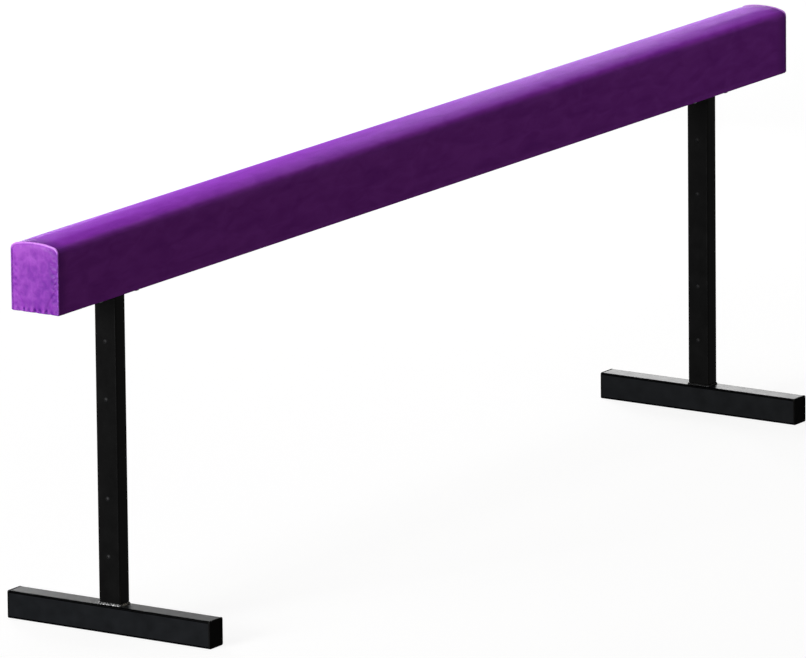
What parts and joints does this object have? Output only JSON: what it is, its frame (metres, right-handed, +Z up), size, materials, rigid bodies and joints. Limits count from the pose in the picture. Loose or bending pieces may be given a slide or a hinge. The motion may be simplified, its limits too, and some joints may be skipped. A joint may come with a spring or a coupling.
{
  "type": "balance beam",
  "caption": "Low gymnastics balance beam: long padded box beam in purple fabric, held level by T-shaped black steel legs of rectangular tube that bolt on underneath.",
  "frame": {"origin": "on the floor, under the middle of the beam", "axes": "+X along the beam to the right-hand end, +Y across the beam to the back, +Z up"},
  "size_m": [2.4, 0.43, 0.74],
  "materials": {
    "cover_fabric": "smooth synthetic suede with a satin sheen, purple",
    "piping_fabric": "same fabric as the cover, sewn round a cord",
    "foam": "cream polyethylene foam sheet",
    "timber": "plain birch plywood and softwood, sawn",
    "black_steel": "black powder coat, semi-gloss",
    "weld_bead": "ripple weld under thin black powder coat, glossy",
    "black_screw": "black oxide button-head screw",
    "zinc_steel": "bright zinc plate",
    "brass": "plain brass insert",
    "black_plastic": "black polyethylene tube plug"
  },
  "bodies": {
    "root": {"cover_wrap": "cover_fabric", "end_panel_left": "cover_fabric", "end_panel_right": "cover_fabric", "end_piping_left": "piping_fabric", "end_piping_right": "piping_fabric", "lap_staples": "zinc_steel", "flap_staples": "zinc_steel", "top_foam": "foam", "side_foam_front": "foam", "side_foam_back": "foam", "end_foam_left": "foam", "end_foam_right": "foam", "core_top_board": "timber", "core_bottom_board": "timber", "core_side_board_front": "timber", "core_side_board_back": "timber", "core_end_block_left": "timber", "core_end_block_right": "timber", "core_leg_block_left": "timber", "core_leg_block_right": "timber", "core_ribs": "timber", "core_top_screws": "zinc_steel", "core_bottom_screws": "zinc_steel", "left_mounting_plate": "black_steel", "left_mounting_bolts": "zinc_steel", "left_washers": "zinc_steel", "left_threaded_inserts": "brass", "left_top_stub": "black_steel", "left_top_weld": "weld_bead", "left_post_tube": "black_steel", "left_clamp_screws": "black_screw", "left_foot_stub": "black_steel", "left_foot_weld": "weld_bead", "left_foot_tube": "black_steel", "left_foot_plug_front": "black_plastic", "left_foot_plug_back": "black_plastic", "right_mounting_plate": "black_steel", "right_mounting_bolts": "zinc_steel", "right_washers": "zinc_steel", "right_threaded_inserts": "brass", "right_top_stub": "black_steel", "right_top_weld": "weld_bead", "right_post_tube": "black_steel", "right_clamp_screws": "black_screw", "right_foot_stub": "black_steel", "right_foot_weld": "weld_bead", "right_foot_tube": "black_steel", "right_foot_plug_front": "black_plastic", "right_foot_plug_back": "black_plastic"}
  },
  "joints": []
}
